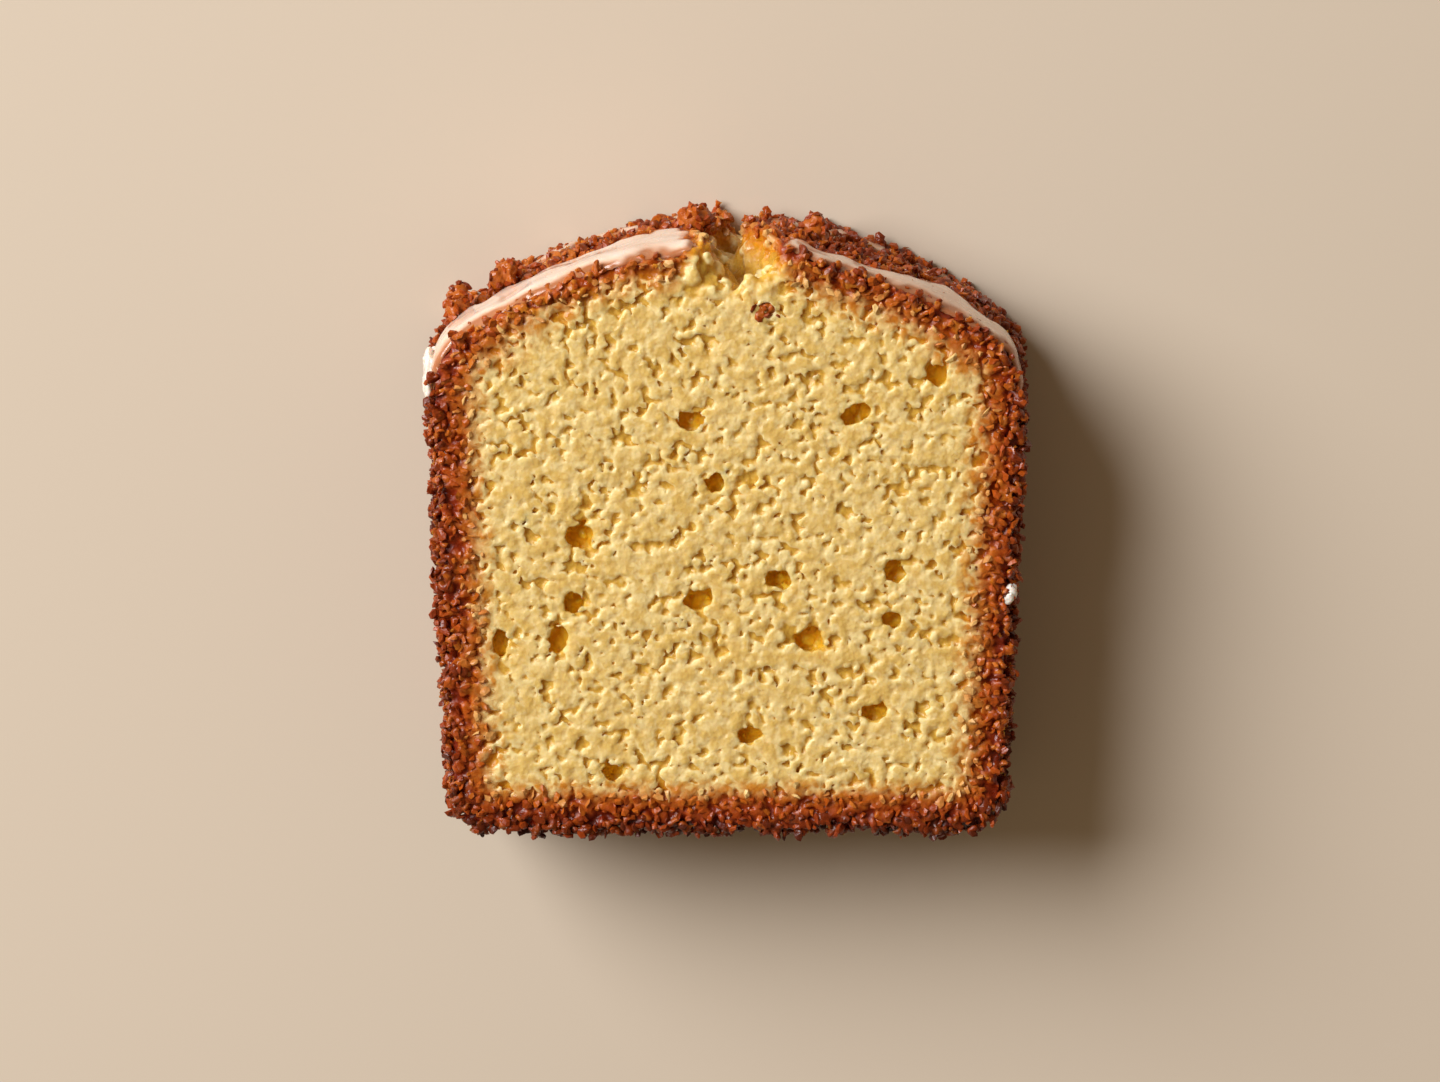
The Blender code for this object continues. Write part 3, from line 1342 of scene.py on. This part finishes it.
@dataclass(frozen=True)
class GlazeFinish:
    """Sugar glaze: milky where thick, and showing the crust's brown where thin."""

    thin: Colour = linear(180, 116, 76)
    middle: Colour = linear(224, 192, 168)
    thick: Colour = linear(243, 230, 218)
    cloud_size: float = 5.0
    sheen: tuple[float, float] = (0.12, 0.34)
    translucency: float = 0.6
    light_spread: tuple[float, float, float] = (1.0, 0.7, 0.5)
    light_depth: float = 1.0 * MM

    def build(self) -> bpy.types.Material:
        """Makes the material.

        Returns:
            The material.
        """
        material, graph, surface = new_material("sugar_glaze")
        place = graph.millimetres(graph.node("ShaderNodeTexCoord", output="Object"))
        clouded = graph.stored("thickness") + 0.5 * (graph.noise(place, self.cloud_size, 2.0) - 0.5)
        settings = {"stops": [(0.1, self.thin), (0.45, self.middle), (0.95, self.thick)]}
        inputs = {
            "Base Color": graph.node("ShaderNodeValToRGB", settings, {"Fac": clouded}, "Color"),
            "Roughness": graph.noise(place, 4.0, 1.0).ramp(0.3, 0.7, *self.sheen),
            "Normal": graph.bump(graph.noise(place, self.cloud_size, 1.0), 0.15, 0.2 * MM),
            "Subsurface Weight": self.translucency,
            "Subsurface Radius": self.light_spread,
            "Subsurface Scale": self.light_depth,
            "Coat Weight": 0.3,
            "Coat Roughness": 0.1,
        }
        graph.fill(surface, inputs)
        return material


@dataclass
class Studio:
    """Pale floor, soft key light from the upper left, and the camera above the cut."""

    loaf: Loaf
    tilt: float = 12.5
    lens: float = 180.0
    view_width: float = 0.2146
    aim: tuple[float, float] = (-0.001, 0.0454)
    light_distance: float = 1.8
    light_size: float = 1.35
    light_elevation: float = 36.0
    light_turn: float = 145.0
    light_power: float = 51.5
    light_colour: tuple[float, float, float] = (0.97, 0.98, 1.0)
    ambient: float = 0.19
    ambient_colour: Colour = (1.0, 0.74, 0.46, 1.0)
    floor_colour: Colour = linear(214, 198, 178)
    floor_width: float = 6.0
    floor_gap: float = 0.05 * MM
    sensor: float = 36.0

    def build_camera(self) -> None:
        """Looks down on the cut, leaning towards the crown so that the glaze shows."""
        distance = self.view_width * self.lens / self.sensor
        lean = math.radians(self.tilt)
        across, above_base = self.aim
        aim = Vector((across, self.loaf.low.y + above_base, self.loaf.high.z))
        data = bpy.data.cameras.new("camera")
        data.lens = self.lens
        data.sensor_width = self.sensor
        data.clip_start, data.clip_end = 0.01, 10.0
        camera = bpy.data.objects.new("camera", data)
        camera.location = aim + Vector((0.0, math.sin(lean), math.cos(lean))) * distance
        camera.rotation_euler = Euler((-lean, 0.0, 0.0))
        bpy.context.scene.collection.objects.link(camera)
        bpy.context.scene.camera = camera

    def build_lights(self) -> None:
        """A large soft key, with the room's light from the world."""
        data = bpy.data.lights.new("key", "AREA")
        data.shape = "DISK"
        data.size = self.light_size
        data.energy = self.light_power
        data.color = self.light_colour
        key = bpy.data.objects.new("key", data)
        rise, turn = math.radians(self.light_elevation), math.radians(self.light_turn)
        away = Vector((math.cos(rise) * math.cos(turn), math.cos(rise) * math.sin(turn), math.sin(rise)))
        key.location = away * self.light_distance
        key.rotation_euler = away.to_track_quat("Z", "Y").to_euler()
        bpy.context.scene.collection.objects.link(key)
        world = bpy.data.worlds.new("room")
        world.use_nodes = True
        background = world.node_tree.nodes["Background"]
        background.inputs["Color"].default_value = self.ambient_colour
        background.inputs["Strength"].default_value = self.ambient
        bpy.context.scene.world = world

    def build_floor(self) -> None:
        """A wide beige floor just under the slice."""
        bpy.ops.object.select_all(action="DESELECT")
        level = self.loaf.low.z - self.floor_gap
        bpy.ops.mesh.primitive_plane_add(size=self.floor_width, location=(0.0, 0.0, level))
        floor = bpy.context.active_object
        floor.name = "floor"
        material, graph, surface = new_material("floor_paper")
        inputs = {"Base Color": self.floor_colour, "Roughness": 0.9, "Specular IOR Level": 0.1}
        graph.fill(surface, inputs)
        floor.data.materials.append(material)

    def build(self) -> None:
        """Sets up the whole studio."""
        self.build_camera()
        self.build_lights()
        self.build_floor()
        bpy.context.scene.view_settings.view_transform = "Standard"


def main() -> None:
    """Builds the slice in order."""
    logging.basicConfig(level=logging.INFO)
    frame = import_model()
    loaf = Loaf.from_frame(frame["nodes"][NODE])
    Studio(loaf).build()
    baked = BakedFinish().build()
    pieces = Cake(loaf).build(baked)
    flaky = BakedFinish("baked_flakes", 0.0).build()
    pieces += [knob.build(loaf, flaky) for knob in KNOBS]
    pieces.append(Flakes(BakedField(loaf), flaky).build(list(pieces)))
    sugar = GlazeFinish().build()
    pieces += Glaze(BakedField(loaf), sugar).build()
    pieces += [chip.build(loaf, sugar) for chip in CHIPS]
    for piece in pieces:
        LOG.info("built %s", piece.name)
    bpy.data.objects.remove(loaf.guide)


if __name__ == "__main__":
    main()
